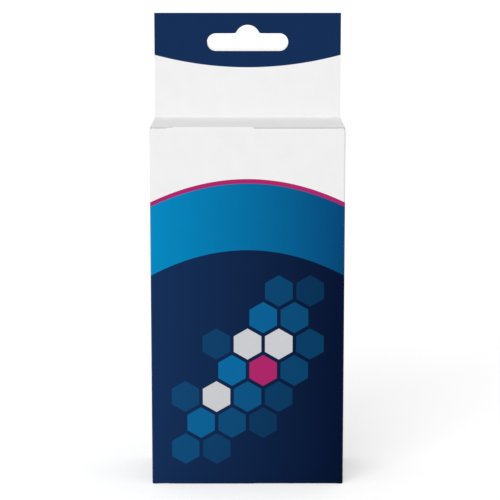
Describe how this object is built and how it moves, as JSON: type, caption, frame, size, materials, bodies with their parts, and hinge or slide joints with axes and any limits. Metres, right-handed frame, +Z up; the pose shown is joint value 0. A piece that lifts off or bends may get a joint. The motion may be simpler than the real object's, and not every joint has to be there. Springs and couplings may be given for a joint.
{
  "type": "hang-tab carton",
  "caption": "Sealed hang-tab folding carton: upright rectangular card box with glued end flaps and a double-ply back tab with a euro hang slot.",
  "frame": {"origin": "middle of the base the carton stands on", "axes": "+Z up to the head of the hang tab, +Y from the front panel to the back panel, +X to the right seen from the front"},
  "size_m": [0.0742, 0.039, 0.1807],
  "materials": {
    "board": "clay-coated folding boxboard, printed in flat fields of colour and varnished to a soft satin"
  },
  "bodies": {
    "root": {"carton": "board"}
  },
  "joints": []
}
